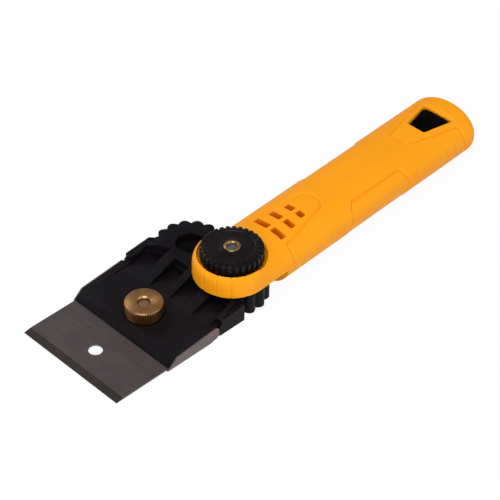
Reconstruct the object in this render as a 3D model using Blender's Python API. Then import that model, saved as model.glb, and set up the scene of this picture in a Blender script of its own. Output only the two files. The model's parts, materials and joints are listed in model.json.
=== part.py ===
"""Blade scraper with an offset swivelling handle, a screw-clamped double-edged blade and a locking knob.

Metres, +Z up. The origin is on the axis of the blade clamp's stud, in the plane that the tool lies on.
+X runs from the cutting edge towards the handle, and +Y is to the left of the tool.
"""
import math

import bmesh
import bpy
from mathutils import Matrix, Vector

# Clearances
SEAT_GAP = 0.0003            # between pieces that bear on one another
BORE_CLEARANCE = 0.0003      # radial, between a shank and the plain hole round it
THREAD_CLEARANCE = 0.00015   # radial, between mating threads
BLADE_SIDE_CLEARANCE = 0.0002
LAP_CLEARANCE = 0.0011       # between a lobe's scallops and the step of the handle behind them
BOSS_CLEARANCE = 0.0008      # round the handle's boss in its pocket, and under it
KNOB_CLEARANCE = 0.0008      # radial, between the knob and its recess in the handle

# Blade
BLADE_WIDTH = 0.070
BLADE_LENGTH = 0.068
BLADE_THICKNESS = 0.0008
BLADE_EXPOSED = 0.0346
BLADE_BEVEL = 0.0045
BLADE_EDGE_LAND = 0.0001
BLADE_HOLE_RADIUS = 0.0037
BLADE_HOLE_INSET = 0.0174    # from each cutting edge to the nearer hole

# Clamp plate, a steel tray with both sides folded up
SHEET = 0.0008
BEND_RADIUS = 0.0014
PLATE_LEAD = 0.0005          # ahead of the head's front edge
PLATE_TAIL = 0.0011          # behind the blade's rear edge
FLANGE_NOSE_HEIGHT = 0.0015
FLANGE_KNEE_RUN = 0.0056
FLANGE_KNEE_HEIGHT = 0.0065
FLANGE_REAR_HEIGHT = 0.0088
FLANGE_CORNER = 0.0024
FLANGE_TAIL_RUN = 0.0085     # over which the flanges' lower edge rises to their rear end
FLANGE_TAIL_RISE = 0.0028

# Clamp stud and its knurled nut
STUD_RADIUS = 0.0030
STUD_HEAD_RADIUS = 0.0055
STUD_CHAMFER = 0.0005
STUD_RECESS = 0.0012         # from the nut's top down to the stud's end
NUT_RADIUS = 0.0104
NUT_HEIGHT = 0.0074
NUT_CHAMFER = 0.0006
NUT_COUNTERSINK = 0.0005
NUT_SEAT_MARGIN = 0.0008

# Head
HEAD_LIP = 0.0006            # upright strip under the front bevel
HEAD_BEVEL_RUN = 0.0051
DECK_FRONT_HEIGHT = 0.0064
DECK_SLOPE = 0.056           # rise of the deck per unit of length towards the handle
BORDER_WIDTH = 0.0045
BORDER_STEP = 0.0026         # rise of the side borders behind the clamp plate
BORDER_NOTCH = 0.0012        # from the end of the plate's room to that rise
RIB_WIDTH = 0.0066
MIDDLE_RIB_WIDTH = 0.0044
RIB_LEAD = 0.0142            # from the stud's axis to the front of the ribs
CHANNEL_RUN_IN = 0.0040      # how far ahead of the ribs the channels start
CHANNEL_SINK = 0.0006        # below the deck at the channels' rear walls
CHANNEL_MARGIN = 0.0003      # between an outer channel and the border's inner side
PLATFORM_HEIGHT = 0.0153
LEDGE_DROP = 0.0036          # from the platform down to the ledge at each channel's rear wall
LEDGE_RUN = 0.0016
INNER_WALL_LEAD = 0.0136     # from the pivots forward to the inner channels' rear walls
OUTER_WALL_LEAD = 0.0162     # the same for the outer channels, at the border
OUTER_WALL_REAR = 0.0105     # the same for the outer channels, at the rib
SIDE_WALL_LEAD = 0.0106      # from the pivots forward to the end of the straight sides
SIDE_TUCK_RUN = 0.0012       # over which the sides draw in to the lobes
SIDE_TUCK = 0.0022
SIDE_DROP = 0.0025           # from the platform down to the borders' rear ends

# Pivot lobes of the head
PIVOT_X = 0.0468
LOBE_RADIUS = 0.0199
LOBE_INSET = 0.0005          # from the head's straight sides in to the lobes' scallops
LOBE_FLAT_RADIUS = 0.0105    # of the flat ring round the pocket, from which the lobes' petals fall
LOBE_DROP = 0.0014           # from the platform down to the lobes' rims
SCALLOP_COUNT = 16
SCALLOP_DEPTH = 0.0022
POCKET_SIDES = 8
POCKET_RADIUS = 0.0082
POCKET_DEPTH = 0.0050

# Pivot bolt
BOLT_RADIUS = 0.0025
BOLT_HEAD_ACROSS = 0.0080
BOLT_HEAD_HEIGHT = 0.0035
BOLT_HEAD_SINK = 0.0006
BOLT_RECESS = 0.0010         # from the insert's top down to the bolt's end

# Handle, an orange skin over a black core
SWIVEL_AT_REST = math.radians(2.3)
GRIP_HALF_WIDTH = 0.0206
GRIP_CENTRE_HEIGHT = 0.0174  # the widest level, from which the belly reaches down to the resting plane
GRIP_RISE = 0.0109           # from the widest level up to the flat top
GRIP_LENGTH = 0.1797         # from the pivot to the rear end
TOP_POWER = 2.3
BELLY_POWER = 2.0
END_ROUND = 0.0072
END_CORNER = 0.0145
SKIN = 0.0024
HUB_THICKNESS = 0.0088       # from the lap's underside up to the knob's seat
HUB_RISE = 0.0114            # from the widest level up to where the hub's shoulder would close
HUB_POWER = 5.0
HUB_BLEND = 0.0195           # from the pivot back to where its sides have become the grip's

# Slots in the handle's top, in rows of two
SLOT_ROWS = 3
SLOT_START = 0.0284
SLOT_PITCH = 0.0098
SLOT_LENGTH = 0.0036
SLOT_WIDTH = 0.0088
SLOT_NARROWING = 0.00195     # per row
SLOT_MIDDLE_GAP = 0.0026
SLOT_SLANT = 0.0008
SLOT_DEPTH = 0.0018

# Hang hole, a trapezium through the rear of the handle
HOLE_START = 0.1455
HOLE_LENGTH = 0.0183
HOLE_FRONT_WIDTH = 0.0108
HOLE_REAR_WIDTH = 0.0184
HOLE_CORNER = 0.0020

# Locking knob, its brass insert and its washer
KNOB_RADIUS = 0.0170
KNOB_HEIGHT = 0.0083
KNOB_TEETH = 30
KNOB_TOOTH_DEPTH = 0.0010
KNOB_BEVEL = 0.0016
INSERT_RADIUS = 0.0040
INSERT_COLLAR_RADIUS = 0.0068
INSERT_COLLAR_HEIGHT = 0.0015
INSERT_PROUD = 0.0004
INSERT_CHAMFER = 0.0005
WASHER_RADIUS = 0.0080
WASHER_THICKNESS = 0.0010

# Fineness of the round shapes
ROUND_SEGMENTS = 40
ARC_SEGMENTS = 6
SCALLOP_POINTS = 6
TOOTH_POINTS = 4
GRIP_FRONT_SEGMENTS = 24
GRIP_LEVELS = 9
GRIP_CAP_ANGLE = math.radians(80)
SMOOTH_ANGLE = math.radians(32)
CUT_MARGIN = 0.004           # how far cutters reach past what they cut

# Places and heights that follow from the sizes above
BLADE_BOTTOM = SHEET + SEAT_GAP
BLADE_TOP = BLADE_BOTTOM + BLADE_THICKNESS
BLADE_REAR_X = BLADE_HOLE_INSET
BLADE_FRONT_X = BLADE_REAR_X - BLADE_LENGTH
HEAD_BOTTOM = BLADE_TOP + SEAT_GAP
HEAD_FRONT_X = BLADE_FRONT_X + BLADE_EXPOSED
DECK_FRONT_X = HEAD_FRONT_X + HEAD_BEVEL_RUN
PLATE_FRONT_X = HEAD_FRONT_X - PLATE_LEAD
PLATE_REAR_X = BLADE_REAR_X + PLATE_TAIL
FLANGE_INSIDE = BLADE_WIDTH / 2 + BLADE_SIDE_CLEARANCE
FLANGE_OUTSIDE = FLANGE_INSIDE + SHEET
HEAD_WAIST = FLANGE_INSIDE - SEAT_GAP
WAIST_END_X = PLATE_REAR_X + SEAT_GAP
BORDER_INSIDE = FLANGE_OUTSIDE - BORDER_WIDTH
PIVOT_OFFSET = FLANGE_OUTSIDE - LOBE_INSET - LOBE_RADIUS
SIDE_WALL_END_X = PIVOT_X - SIDE_WALL_LEAD
POCKET_FLOOR = PLATFORM_HEIGHT - POCKET_DEPTH
POCKET_FLAT_RADIUS = POCKET_RADIUS * math.cos(math.pi / POCKET_SIDES)
NUT_SEAT_RADIUS = NUT_RADIUS + NUT_SEAT_MARGIN
LAP_HEIGHT = PLATFORM_HEIGHT + SEAT_GAP
LAP_STEP = LOBE_RADIUS + LAP_CLEARANCE
KNOB_SEAT = LAP_HEIGHT + HUB_THICKNESS
KNOB_BOTTOM = KNOB_SEAT + SEAT_GAP
KNOB_TOP = KNOB_BOTTOM + KNOB_HEIGHT
INSERT_TOP = KNOB_TOP + INSERT_PROUD
WASHER_BOTTOM = KNOB_SEAT - WASHER_THICKNESS
GRIP_TOP = GRIP_CENTRE_HEIGHT + GRIP_RISE
CLAMP_AXIS = (0.0, 0.0)
PIVOT = (PIVOT_X, -PIVOT_OFFSET)
FREE_PIVOT = (PIVOT_X, PIVOT_OFFSET)


def deck_height(x):
    """Height of the head's sloping deck at a distance along the tool."""
    return DECK_FRONT_HEIGHT + (x - DECK_FRONT_X) * DECK_SLOPE


NUT_SEAT = deck_height(-NUT_SEAT_RADIUS)
NUT_BOTTOM = NUT_SEAT + SEAT_GAP
NUT_TOP = NUT_BOTTOM + NUT_HEIGHT
STUD_TOP = NUT_TOP - STUD_RECESS


def clear_scene():
    for item in list(bpy.data.objects):
        bpy.data.objects.remove(item, do_unlink=True)


def material(name, colour, roughness, metallic=0.0):
    made = bpy.data.materials.new(name)
    made.use_nodes = True
    shader = made.node_tree.nodes["Principled BSDF"]
    shader.inputs["Base Color"].default_value = (*colour, 1.0)
    shader.inputs["Roughness"].default_value = roughness
    shader.inputs["Metallic"].default_value = metallic
    return made


def mesh_object(points, faces):
    """One closed body, with its faces turned outwards."""
    mesh = bpy.data.meshes.new("body")
    mesh.from_pydata(points, [], faces)
    shape = bmesh.new()
    shape.from_mesh(mesh)
    bmesh.ops.recalc_face_normals(shape, faces=shape.faces)
    shape.to_mesh(mesh)
    shape.free()
    made = bpy.data.objects.new("body", mesh)
    bpy.context.scene.collection.objects.link(made)
    return made


def ring_stack(rings, hollow=False):
    """A body through rings of equal counts, closed by two end faces or, if hollow, back on its first ring."""
    count = len(rings[0])
    points = [point for ring in rings for point in ring]
    faces = []
    for level in range(len(rings) if hollow else len(rings) - 1):
        low = level * count
        high = (level + 1) % len(rings) * count
        for i in range(count):
            j = (i + 1) % count
            faces.append([low + i, low + j, high + j, high + i])
    if not hollow:
        faces.append(list(range(count))[::-1])
        faces.append(list(range(len(points) - count, len(points))))
    return mesh_object(points, faces)


def upright_prism(outline, bottom, top):
    """An outline in plan, carried up from one height to another."""
    return ring_stack([[(x, y, z) for x, y in outline] for z in (bottom, top)])


def side_prism(outline, low_y, high_y):
    """An outline in side view, as pairs of x and height, carried across the tool."""
    return ring_stack([[(x, y, z) for x, z in outline] for y in (low_y, high_y)])


def front_prism(outline, low_x, high_x):
    """An outline in front view, as pairs of y and height, carried along the tool."""
    return ring_stack([[(x, y, z) for y, z in outline] for x in (low_x, high_x)])


def arc(centre, radius, start, end):
    """Points on an arc, both ends included, with the angles in degrees."""
    turns = [math.radians(start + (end - start) * i / ARC_SEGMENTS) for i in range(ARC_SEGMENTS + 1)]
    return [(centre[0] + radius * math.cos(t), centre[1] + radius * math.sin(t)) for t in turns]


def circle(radius, centre=(0, 0), segments=ROUND_SEGMENTS, turn=0.0):
    angles = [turn + 2 * math.pi * i / segments for i in range(segments)]
    return [(centre[0] + radius * math.cos(a), centre[1] + radius * math.sin(a)) for a in angles]


def cylinder(radius, bottom, top, centre=(0, 0)):
    return upright_prism(circle(radius, centre), bottom, top)


def hexagon(across, bottom, top, centre=(0, 0)):
    """A hexagonal prism, by its width across the flats."""
    return upright_prism(circle(across / math.sqrt(3), centre, 6), bottom, top)


def turned(profile, hollow=False):
    """A body turned round the upright axis, from pairs of radius and height."""
    return ring_stack([[(x, y, z) for x, y in circle(radius)] for radius, z in profile], hollow)


def rounded_polygon(corners, radius):
    """A convex outline, listed anticlockwise, with every corner rounded."""
    outline = []
    for i, corner in enumerate(corners):
        here = Vector(corner)
        before = (Vector(corners[i - 1]) - here).normalized()
        after = (Vector(corners[(i + 1) % len(corners)]) - here).normalized()
        half = before.angle(after) / 2
        centre = here + (before + after).normalized() * radius / math.sin(half)
        start = math.degrees(math.atan2(before.x, -before.y))
        outline += arc(centre, radius, start, start + 180 - math.degrees(2 * half))
    return outline


def combine(body, other, operation):
    """Cuts or joins a body with another one, which is used up."""
    step = body.modifiers.new(operation, "BOOLEAN")
    step.operation = operation
    step.solver = "EXACT"
    step.object = other
    graph = bpy.context.evaluated_depsgraph_get()
    result = bpy.data.meshes.new_from_object(body.evaluated_get(graph))
    body.modifiers.clear()
    body.data = result
    bpy.data.objects.remove(other, do_unlink=True)


def cut(body, *cutters):
    for cutter in cutters:
        combine(body, cutter, "DIFFERENCE")


def join(body, *others):
    for other in others:
        combine(body, other, "UNION")


def finish(body, name, surface, axis, turn=0.0):
    """Names a piece made round its own upright axis, stands it on that axis and gives it its material."""
    body.name = name
    body.data.name = name
    body.location = (axis[0], axis[1], 0.0)
    body.rotation_euler = (0.0, 0.0, turn)
    body.data.materials.clear()
    body.data.materials.append(surface)
    body.data.shade_smooth()
    body.data.set_sharp_from_angle(angle=SMOOTH_ANGLE)


def blade():
    """A double-edged blade, ground on its upper side along both cutting edges."""
    front = BLADE_FRONT_X
    rear = BLADE_REAR_X
    land = BLADE_BOTTOM + BLADE_EDGE_LAND
    section = [
        (front, BLADE_BOTTOM), (rear, BLADE_BOTTOM), (rear, land), (rear - BLADE_BEVEL, BLADE_TOP),
        (front + BLADE_BEVEL, BLADE_TOP), (front, land),
    ]
    body = side_prism(section, -BLADE_WIDTH / 2, BLADE_WIDTH / 2)
    for x in (front + BLADE_HOLE_INSET, rear - BLADE_HOLE_INSET):
        cut(body, cylinder(BLADE_HOLE_RADIUS, -CUT_MARGIN, BLADE_TOP + CUT_MARGIN, (x, 0)))
    return body


def clamp_plate():
    """A tray of sheet steel under the blade, with a folded flange up each side of the head."""
    inner_bend = BEND_RADIUS - SHEET
    bend_y = FLANGE_OUTSIDE - BEND_RADIUS
    height = FLANGE_REAR_HEIGHT + CUT_MARGIN
    section = [(-FLANGE_OUTSIDE, height)]
    section += arc((-bend_y, BEND_RADIUS), BEND_RADIUS, 180, 270)
    section += arc((bend_y, BEND_RADIUS), BEND_RADIUS, 270, 360)
    section += [(FLANGE_OUTSIDE, height), (FLANGE_INSIDE, height)]
    section += arc((bend_y, BEND_RADIUS), inner_bend, 360, 270)
    section += arc((-bend_y, BEND_RADIUS), inner_bend, 270, 180)
    section += [(-FLANGE_INSIDE, height)]
    body = front_prism(section, PLATE_FRONT_X, PLATE_REAR_X)
    corner = (PLATE_REAR_X - FLANGE_CORNER, FLANGE_REAR_HEIGHT - FLANGE_CORNER)
    over = FLANGE_REAR_HEIGHT + 2 * CUT_MARGIN
    above = [(PLATE_FRONT_X - CUT_MARGIN, over), (PLATE_FRONT_X - CUT_MARGIN, FLANGE_NOSE_HEIGHT)]
    above += [(PLATE_FRONT_X, FLANGE_NOSE_HEIGHT), (PLATE_FRONT_X + FLANGE_KNEE_RUN, FLANGE_KNEE_HEIGHT)]
    above += arc(corner, FLANGE_CORNER, 90, 0)
    above += [(PLATE_REAR_X + CUT_MARGIN, corner[1]), (PLATE_REAR_X + CUT_MARGIN, over)]
    width = FLANGE_OUTSIDE + CUT_MARGIN
    cut(body, side_prism(above, -width, width))
    fall = FLANGE_TAIL_RISE / FLANGE_TAIL_RUN
    tail_front = PLATE_REAR_X - FLANGE_TAIL_RUN - CUT_MARGIN
    tail_rear = PLATE_REAR_X + CUT_MARGIN
    tail = [
        (tail_front, -CUT_MARGIN * fall), (tail_front, -2 * CUT_MARGIN),
        (tail_rear, -2 * CUT_MARGIN), (tail_rear, FLANGE_TAIL_RISE + CUT_MARGIN * fall),
    ]
    cut(body, side_prism(tail, bend_y, width), side_prism(tail, -width, -bend_y))
    cut(body, cylinder(STUD_HEAD_RADIUS + THREAD_CLEARANCE, -CUT_MARGIN, SHEET + CUT_MARGIN))
    return body


def clamp_stud():
    """A threaded stud whose flat head is pressed into the plate, flush with its underside."""
    return turned([
        (STUD_HEAD_RADIUS, 0.0), (STUD_HEAD_RADIUS, SHEET), (STUD_RADIUS, SHEET),
        (STUD_RADIUS, STUD_TOP - STUD_CHAMFER), (STUD_RADIUS - STUD_CHAMFER, STUD_TOP),
    ])


def clamp_nut():
    """The round brass nut that draws the plate and the blade up against the head."""
    bore = STUD_RADIUS + THREAD_CLEARANCE
    return turned([
        (bore, NUT_BOTTOM), (NUT_RADIUS - NUT_CHAMFER, NUT_BOTTOM), (NUT_RADIUS, NUT_BOTTOM + NUT_CHAMFER),
        (NUT_RADIUS, NUT_TOP - NUT_CHAMFER), (NUT_RADIUS - NUT_CHAMFER, NUT_TOP),
        (bore + NUT_COUNTERSINK, NUT_TOP), (bore, NUT_TOP - NUT_COUNTERSINK),
    ], hollow=True)


def lobe(centre):
    """A round pivot lobe with scallops all round its side, and petals that fall from its flat top."""
    count = SCALLOP_COUNT * SCALLOP_POINTS
    rim = []
    for i in range(count):
        turn = 2 * math.pi * i / count
        radius = LOBE_RADIUS - SCALLOP_DEPTH * (1 - abs(math.sin(SCALLOP_COUNT / 2 * turn)))
        rim.append((centre[0] + radius * math.cos(turn), centre[1] + radius * math.sin(turn)))
    levels = [(rim, HEAD_BOTTOM), (rim, PLATFORM_HEIGHT - LOBE_DROP)]
    levels.append((circle(LOBE_FLAT_RADIUS, centre, count), PLATFORM_HEIGHT))
    return ring_stack([[(x, y, height) for x, y in outline] for outline, height in levels])


def side_slope(side):
    """A cutter that lets the platform fall towards one side of the head."""
    start = PIVOT_OFFSET + LOBE_FLAT_RADIUS
    end = FLANGE_OUTSIDE + CUT_MARGIN
    low = PLATFORM_HEIGHT - SIDE_DROP * (end - start) / (FLANGE_OUTSIDE - start)
    over = PLATFORM_HEIGHT + CUT_MARGIN
    section = [(side * start, PLATFORM_HEIGHT), (side * end, low), (side * end, over), (side * start, over)]
    return front_prism(section, HEAD_FRONT_X - CUT_MARGIN, PIVOT_X + CUT_MARGIN)


def head_blank():
    """The head's plan, narrowed beside the clamp plate's flanges and ending in the two lobes."""
    right = [
        (HEAD_FRONT_X, -HEAD_WAIST), (WAIST_END_X, -HEAD_WAIST), (WAIST_END_X, -FLANGE_OUTSIDE),
        (SIDE_WALL_END_X, -FLANGE_OUTSIDE), (SIDE_WALL_END_X + SIDE_TUCK_RUN, SIDE_TUCK - FLANGE_OUTSIDE),
        (PIVOT_X, -PIVOT_OFFSET),
    ]
    left = [(x, -y) for x, y in reversed(right)]
    body = upright_prism(right + left, HEAD_BOTTOM, PLATFORM_HEIGHT)
    cut(body, side_slope(1), side_slope(-1))
    join(body, lobe(FREE_PIVOT), lobe(PIVOT))
    return body


def above_line(line, low_y, high_y):
    """A cutter for everything over a line in side view, within a strip across the tool."""
    over = PLATFORM_HEIGHT + 2 * CUT_MARGIN
    return side_prism([(line[0][0], over)] + line + [(line[-1][0], over)], low_y, high_y)


def run_on(start, end):
    """The point where a line through two points has gone on past its end, at the cutters' upper level."""
    grow = (PLATFORM_HEIGHT + CUT_MARGIN - end[1]) / (end[1] - start[1])
    return (end[0] + (end[0] - start[0]) * grow, PLATFORM_HEIGHT + CUT_MARGIN)


def cut_deck(body):
    """The bevelled nose, the sloping deck, the three ribs and the raised side borders."""
    lip = HEAD_BOTTOM + HEAD_LIP
    bevel_slope = (DECK_FRONT_HEIGHT - lip) / HEAD_BEVEL_RUN
    nose = (HEAD_FRONT_X - CUT_MARGIN, lip - CUT_MARGIN * bevel_slope)
    deck_front = (DECK_FRONT_X, DECK_FRONT_HEIGHT)
    rib_foot = (RIB_LEAD, deck_height(RIB_LEAD))
    rib_top = (PIVOT_X - INNER_WALL_LEAD, PLATFORM_HEIGHT)
    deck = [nose, deck_front, rib_foot, run_on(rib_foot, rib_top)]
    cut(body, above_line(deck, -BORDER_INSIDE, BORDER_INSIDE))
    notch_x = WAIST_END_X + BORDER_NOTCH
    step_top = (notch_x, FLANGE_REAR_HEIGHT + BORDER_STEP)
    border_end = (SIDE_WALL_END_X, PLATFORM_HEIGHT - SIDE_DROP)
    border = [nose, deck_front, (notch_x, FLANGE_REAR_HEIGHT), step_top, border_end]
    outside = FLANGE_OUTSIDE + CUT_MARGIN
    cut(body, above_line(border, BORDER_INSIDE, outside), above_line(border, -outside, -BORDER_INSIDE))


def channel(inner, inner_end, outer, outer_end):
    """Two cutters for a channel: down to its sloping floor, and down to the ledge at its rear wall."""
    start = RIB_LEAD - CHANNEL_RUN_IN
    length = PIVOT_X - INNER_WALL_LEAD - start
    top = PLATFORM_HEIGHT + CUT_MARGIN
    lift = CHANNEL_SINK / 4

    def floor(x):
        return deck_height(x) + lift - (lift + CHANNEL_SINK) * (x - start) / length

    def outline(short):
        return [(start, inner), (inner_end - short, inner), (outer_end - short, outer), (start, outer)]
    plan = outline(LEDGE_RUN)
    deep = ring_stack([[(x, y, floor(x)) for x, y in plan], [(x, y, top) for x, y in plan]])
    return deep, upright_prism(outline(0.0), PLATFORM_HEIGHT - LEDGE_DROP, top)


def cut_channels(body):
    """Four channels, between the ribs and the side borders."""
    inner_end = PIVOT_X - INNER_WALL_LEAD
    rib_end = PIVOT_X - OUTER_WALL_REAR
    border_end = PIVOT_X - OUTER_WALL_LEAD
    middle_rib = MIDDLE_RIB_WIDTH / 2
    rib = RIB_WIDTH / 2
    border = BORDER_INSIDE - CHANNEL_MARGIN
    for side in (1, -1):
        cut(body, *channel(side * middle_rib, inner_end, side * (PIVOT_OFFSET - rib), inner_end))
        cut(body, *channel(side * (PIVOT_OFFSET + rib), rib_end, side * border, border_end))


def head_body():
    """The black head: it holds the blade clamp, and the handle pivots on one of its two lobes."""
    body = head_blank()
    cut_deck(body)
    cut_channels(body)
    under = HEAD_BOTTOM - CUT_MARGIN
    over = PLATFORM_HEIGHT + CUT_MARGIN
    cut(body, cylinder(NUT_SEAT_RADIUS, NUT_SEAT, over))
    cut(body, cylinder(STUD_RADIUS + BORE_CLEARANCE, under, over))
    recess_top = HEAD_BOTTOM + BOLT_HEAD_SINK + BOLT_HEAD_HEIGHT + SEAT_GAP
    for centre in (PIVOT, FREE_PIVOT):
        cut(body, upright_prism(circle(POCKET_RADIUS, centre, POCKET_SIDES), POCKET_FLOOR, over))
        cut(body, cylinder(BOLT_RADIUS + BORE_CLEARANCE, under, over, centre))
        cut(body, hexagon(BOLT_HEAD_ACROSS + 2 * SEAT_GAP, under, recess_top, centre))
    body.data.transform(Matrix.Translation((-PIVOT[0], -PIVOT[1], 0)))
    return body


def pivot_bolt():
    """A hexagon bolt, held in the head's underside, that carries the handle and the knob."""
    bottom = HEAD_BOTTOM + BOLT_HEAD_SINK
    body = hexagon(BOLT_HEAD_ACROSS, bottom, bottom + BOLT_HEAD_HEIGHT)
    join(body, cylinder(BOLT_RADIUS, bottom + BOLT_HEAD_HEIGHT / 2, INSERT_TOP - BOLT_RECESS))
    return body


def grip_ring(hub_width, half_width, end, corner, height):
    """A level outline of the grip: round about the pivot in front, with rounded corners at the rear."""
    front = [math.pi * (0.5 + i / GRIP_FRONT_SEGMENTS) for i in range(GRIP_FRONT_SEGMENTS + 1)]
    outline = [(hub_width * math.cos(t), hub_width * math.sin(t)) for t in front]
    outline.append((HUB_BLEND, -half_width))
    outline += arc((end - corner, corner - half_width), corner, -90, 0)
    outline += arc((end - corner, half_width - corner), corner, 0, 90)
    outline.append((HUB_BLEND, half_width))
    return [(x, y, height) for x, y in outline]


def hub_share(rise, inset):
    """Share of the hub's full width at a rise above its widest level, under a full round shoulder."""
    return (1 - (rise / (HUB_RISE - inset)) ** HUB_POWER) ** (1 / HUB_POWER)


def grip_form(inset):
    """The handle's outer form, or with an inset the same form drawn in by that much on all sides."""
    widest = GRIP_HALF_WIDTH - inset
    end = GRIP_LENGTH - inset
    cap = math.sin(GRIP_CAP_ANGLE)
    rings = []
    for level in range(-GRIP_LEVELS, GRIP_LEVELS + 1):
        turn = GRIP_CAP_ANGLE * abs(level) / GRIP_LEVELS
        power = TOP_POWER if level > 0 else BELLY_POWER
        reach = GRIP_RISE - inset if level > 0 else inset - GRIP_CENTRE_HEIGHT
        share = math.cos(turn) ** (2 / power)
        height = GRIP_CENTRE_HEIGHT + reach * (math.sin(turn) / cap) ** (2 / power)
        hub = widest * (hub_share(height - GRIP_CENTRE_HEIGHT, inset) if level > 0 else share)
        end_here = end - END_ROUND * (1 - share)
        rings.append(grip_ring(hub, widest * share, end_here, END_CORNER * share, height))
    body = ring_stack(rings)
    step = LAP_STEP + inset
    front = -GRIP_HALF_WIDTH - CUT_MARGIN
    side = GRIP_HALF_WIDTH + CUT_MARGIN
    cut(body, upright_prism([(front, -side), (step, -side), (step, side), (front, side)],
                            -CUT_MARGIN, LAP_HEIGHT + inset))
    cut(body, cylinder(KNOB_RADIUS + KNOB_CLEARANCE + inset, KNOB_SEAT - inset, GRIP_TOP + CUT_MARGIN))
    return body


def hang_hole():
    """A cutter for the tapering hang hole."""
    front = HOLE_FRONT_WIDTH / 2
    rear = HOLE_REAR_WIDTH / 2
    end = HOLE_START + HOLE_LENGTH
    corners = [(HOLE_START, -front), (end, -rear), (end, rear), (HOLE_START, front)]
    return upright_prism(rounded_polygon(corners, HOLE_CORNER), -CUT_MARGIN, GRIP_TOP + CUT_MARGIN)


def bolt_bore():
    """A cutter for the bolt's plain hole through the handle."""
    return cylinder(BOLT_RADIUS + BORE_CLEARANCE, POCKET_FLOOR, GRIP_TOP + CUT_MARGIN)


def slot(row, side):
    """A cutter for one slot in the handle's top, to the left or the right of its middle."""
    inner = SLOT_MIDDLE_GAP / 2
    outer = inner + SLOT_WIDTH - row * SLOT_NARROWING
    front = SLOT_START + row * SLOT_PITCH - SLOT_LENGTH / 2
    rear = front + SLOT_LENGTH
    outline = [(front, side * inner), (rear, side * inner), (rear - SLOT_SLANT, side * outer),
               (front - SLOT_SLANT, side * outer)]
    return upright_prism(outline, GRIP_TOP - SLOT_DEPTH, GRIP_TOP + CUT_MARGIN)


def handle_skin():
    """The orange outer skin, with the boss that sits in the head's pocket."""
    body = grip_form(0.0)
    cut(body, grip_form(SKIN))
    boss_radius = POCKET_FLAT_RADIUS - BOSS_CLEARANCE
    join(body, cylinder(boss_radius, POCKET_FLOOR + BOSS_CLEARANCE, LAP_HEIGHT + SKIN / 2))
    cut(body, bolt_bore(), hang_hole())
    cut(body, cylinder(WASHER_RADIUS + SEAT_GAP, WASHER_BOTTOM - SEAT_GAP, KNOB_SEAT + CUT_MARGIN))
    for row in range(SLOT_ROWS):
        cut(body, slot(row, 1), slot(row, -1))
    return body


def handle_core():
    """The stiff black core inside the skin, which shows in the hang hole."""
    body = grip_form(SKIN + SEAT_GAP)
    cut(body, bolt_bore(), hang_hole())
    return body


def knob_body():
    """The toothed black knob, hollow for its insert and with both rims bevelled."""
    def ring(inset, depth, height):
        points = []
        for i in range(KNOB_TEETH * TOOTH_POINTS):
            turn = 2 * math.pi * i / (KNOB_TEETH * TOOTH_POINTS)
            dip = depth if i % TOOTH_POINTS in (0, TOOTH_POINTS - 1) else 0.0
            radius = KNOB_RADIUS - inset - dip
            points.append((radius * math.cos(turn), radius * math.sin(turn), height))
        return points
    half_dip = KNOB_TOOTH_DEPTH / 2
    body = ring_stack([
        ring(KNOB_BEVEL, half_dip, KNOB_BOTTOM), ring(0, KNOB_TOOTH_DEPTH, KNOB_BOTTOM + KNOB_BEVEL),
        ring(0, KNOB_TOOTH_DEPTH, KNOB_TOP - KNOB_BEVEL), ring(KNOB_BEVEL, half_dip, KNOB_TOP),
    ])
    under = KNOB_BOTTOM - CUT_MARGIN
    cut(body, cylinder(INSERT_RADIUS + SEAT_GAP, under, KNOB_TOP + CUT_MARGIN))
    collar_top = KNOB_BOTTOM + INSERT_COLLAR_HEIGHT + SEAT_GAP
    cut(body, cylinder(INSERT_COLLAR_RADIUS + SEAT_GAP, under, collar_top))
    return body


def knob_insert():
    """The brass insert with the knob's thread and a collar that bears on the washer."""
    bore = BOLT_RADIUS + THREAD_CLEARANCE
    collar_top = KNOB_BOTTOM + INSERT_COLLAR_HEIGHT
    return turned([
        (bore, KNOB_BOTTOM), (INSERT_COLLAR_RADIUS, KNOB_BOTTOM), (INSERT_COLLAR_RADIUS, collar_top),
        (INSERT_RADIUS, collar_top), (INSERT_RADIUS, INSERT_TOP - INSERT_CHAMFER),
        (INSERT_RADIUS - INSERT_CHAMFER, INSERT_TOP), (bore, INSERT_TOP),
    ], hollow=True)


def knob_washer():
    """A plain steel washer between the knob and the handle."""
    bore = BOLT_RADIUS + BORE_CLEARANCE
    return turned([(bore, WASHER_BOTTOM), (WASHER_RADIUS, WASHER_BOTTOM), (WASHER_RADIUS, KNOB_SEAT),
                   (bore, KNOB_SEAT)], hollow=True)


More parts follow.
